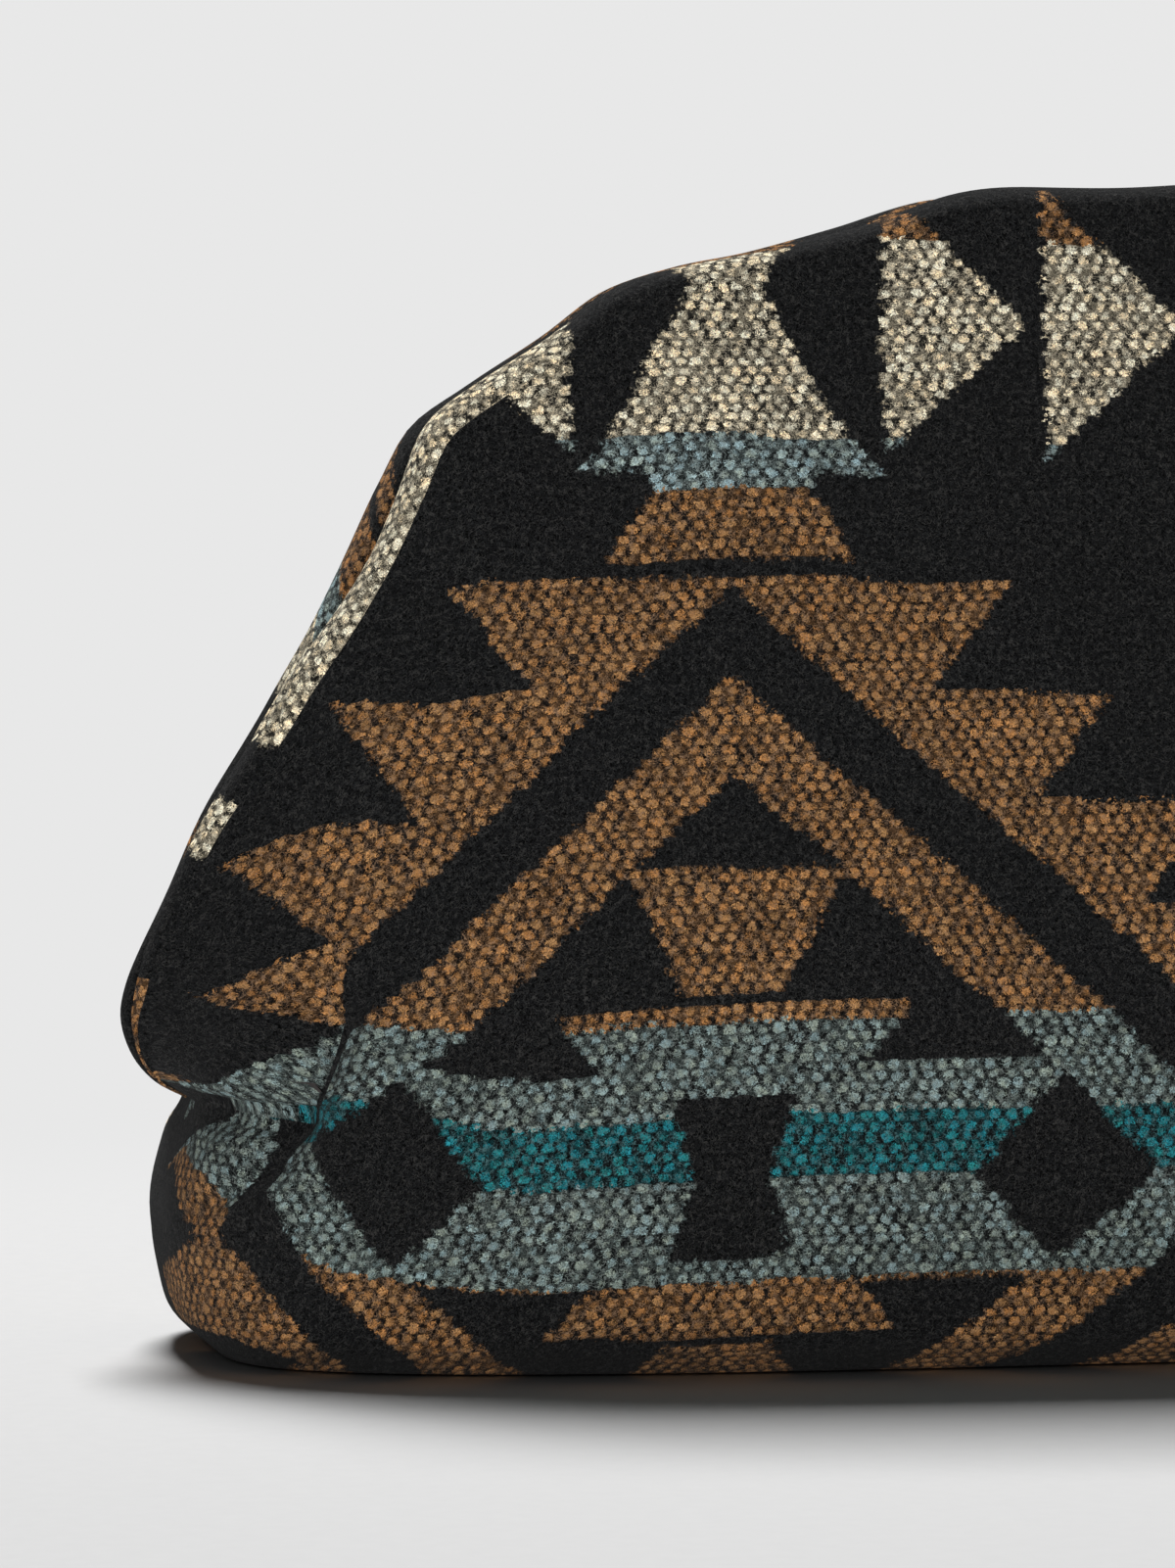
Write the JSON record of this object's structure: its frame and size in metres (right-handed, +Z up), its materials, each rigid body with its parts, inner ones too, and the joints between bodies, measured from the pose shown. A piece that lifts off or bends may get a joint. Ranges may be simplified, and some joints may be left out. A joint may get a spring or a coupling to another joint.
{
  "type": "clutch bag",
  "caption": "Soft pouch clutch bag in thick patterned wool on a hidden hinged steel frame, with a bulging base and a rolled arched mouth that opens front and back.",
  "frame": {"origin": "centre of the bag's footprint, on the floor that it stands on", "axes": "+X along the mouth to the right seen from the front, -Y out of the front panel, +Z up"},
  "size_m": [0.3758, 0.1106, 0.175],
  "materials": {
    "wool": "thick napped wool jacquard with a stepped geometric pattern in black, cream, tan, grey-teal and teal",
    "lining": "plain dark cotton twill",
    "board": "grey pasteboard stiffener wrapped in interlining",
    "steel": "plain bent strip, hidden in the hem",
    "brass": "plain rivet"
  },
  "bodies": {
    "base": {"base_panel": "wool", "left_gusset": "wool", "right_gusset": "wool", "base_lining": "lining", "base_board": "board", "hinge_rivet_left": "brass", "hinge_rivet_right": "brass"},
    "front_half": {"front_panel": "wool", "front_lining": "lining", "front_frame": "steel", "front_magnet_left": "steel", "front_magnet_right": "steel"},
    "back_half": {"back_panel": "wool", "back_lining": "lining", "back_frame": "steel", "back_magnet_left": "steel", "back_magnet_right": "steel"}
  },
  "joints": [
    {"name": "front_open", "type": "hinge", "parent": "base", "child": "front_half", "pos_m": [0, 0, 0.044], "axis": [1, 0, 0], "range_deg": [0, 32], "deforming": ["left_gusset", "right_gusset"]},
    {"name": "back_open", "type": "hinge", "parent": "base", "child": "back_half", "pos_m": [0, 0, 0.044], "axis": [-1, 0, 0], "range_deg": [0, 32], "deforming": ["left_gusset", "right_gusset"]}
  ]
}
